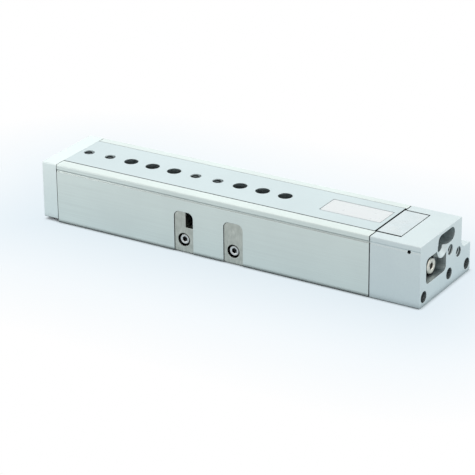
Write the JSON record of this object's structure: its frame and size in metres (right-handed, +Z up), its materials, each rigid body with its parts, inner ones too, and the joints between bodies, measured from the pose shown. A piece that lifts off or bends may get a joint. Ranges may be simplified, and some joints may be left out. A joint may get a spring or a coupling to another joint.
{
  "type": "pneumatic slide table",
  "caption": "Compact air-driven slide table: a flat table with a hole row runs out of a U-shaped housing on caged balls, with a yoke plate in front and a ported cap behind.",
  "frame": {"origin": "middle of the mounting face, under the middle of the overall box, with the table retracted", "axes": "+X runs from the yoke plate to the ported rear cap, +Y to the ledge with the sensor slot, +Z up out of the table's top face; the table travels along -X"},
  "size_m": [0.2084, 0.051, 0.0305],
  "materials": {
    "anodised_housing": "satin anodised extrusion",
    "anodised_cap": "fine blasted, anodised",
    "anodised_yoke": "satin anodised plate",
    "ground_table": "finely ground along its length",
    "stop_steel": "ground steel",
    "block_steel": "satin steel",
    "rail_steel": "hardened and ground",
    "ball_steel": "polished balls",
    "cage_brass": "rolled strip",
    "bush_bronze": "sintered bronze",
    "chromed_rod": "hard chromed",
    "screw_steel": "plain screw steel",
    "bright_screw": "bright turned steel",
    "pin_steel": "ground pins",
    "spring_steel": "phosphated spring steel",
    "turned_aluminium": "turned",
    "magnet": "plastic bonded magnet",
    "guide_plastic": "bearing plastic",
    "seal_rubber": "matt",
    "blank_label": "white film"
  },
  "bodies": {
    "housing_unit": {"housing": "anodised_housing", "rear_cap": "anodised_cap", "cap_screws": "screw_steel", "cap_pin": "pin_steel", "spigot_oring": "seal_rubber", "duct_oring": "seal_rubber", "duct_ball": "ball_steel", "outer_rail_near": "rail_steel", "outer_rail_far": "rail_steel", "bearing_cap": "turned_aluminium", "bearing_circlip": "spring_steel", "rod_bushing": "bush_bronze", "rod_seal": "seal_rubber", "rod_wiper": "seal_rubber", "bearing_oring": "seal_rubber", "front_stop_block": "block_steel", "rear_stop_block": "block_steel", "stop_block_screws": "screw_steel", "front_buffer": "seal_rubber", "rear_buffer": "seal_rubber"},
    "table_unit": {"slide_table": "ground_table", "yoke_plate": "anodised_yoke", "yoke_screws": "screw_steel", "yoke_pins": "pin_steel", "inner_rail_near": "rail_steel", "inner_rail_far": "rail_steel", "piston_rod": "chromed_rod", "rod_screw": "screw_steel", "piston": "turned_aluminium", "piston_seals": "seal_rubber", "piston_guide_ring": "guide_plastic", "piston_magnet": "magnet", "piston_nut": "screw_steel", "rear_stop_arm": "stop_steel", "arm_screws": "screw_steel", "stop_lock_screws": "screw_steel", "label": "blank_label"},
    "near_cage_unit": {"cage_near": "cage_brass", "balls_near": "ball_steel"},
    "far_cage_unit": {"cage_far": "cage_brass", "balls_far": "ball_steel"},
    "front_adjuster": {"front_stop_screw": "screw_steel"},
    "rear_adjuster": {"rear_stop_screw": "bright_screw"}
  },
  "joints": [
    {"name": "table_travel", "type": "slide", "parent": "housing_unit", "child": "table_unit", "axis": [-1, 0, 0], "range_m": [0, 0.08]},
    {"name": "near_cage_travel", "type": "slide", "parent": "housing_unit", "child": "near_cage_unit", "axis": [-1, 0, 0], "range_m": [0, 0.04]},
    {"name": "far_cage_travel", "type": "slide", "parent": "housing_unit", "child": "far_cage_unit", "axis": [-1, 0, 0], "range_m": [0, 0.04]},
    {"name": "front_stop_adjust", "type": "slide", "parent": "table_unit", "child": "front_adjuster", "axis": [-1, 0, 0], "range_m": [0, 0.003]},
    {"name": "rear_stop_adjust", "type": "slide", "parent": "table_unit", "child": "rear_adjuster", "axis": [1, 0, 0], "range_m": [0, 0.003]}
  ],
  "couplings": [
    {"joint": "near_cage_travel", "follows": "table_travel", "ratio": 0.5},
    {"joint": "far_cage_travel", "follows": "table_travel", "ratio": 0.5}
  ]
}
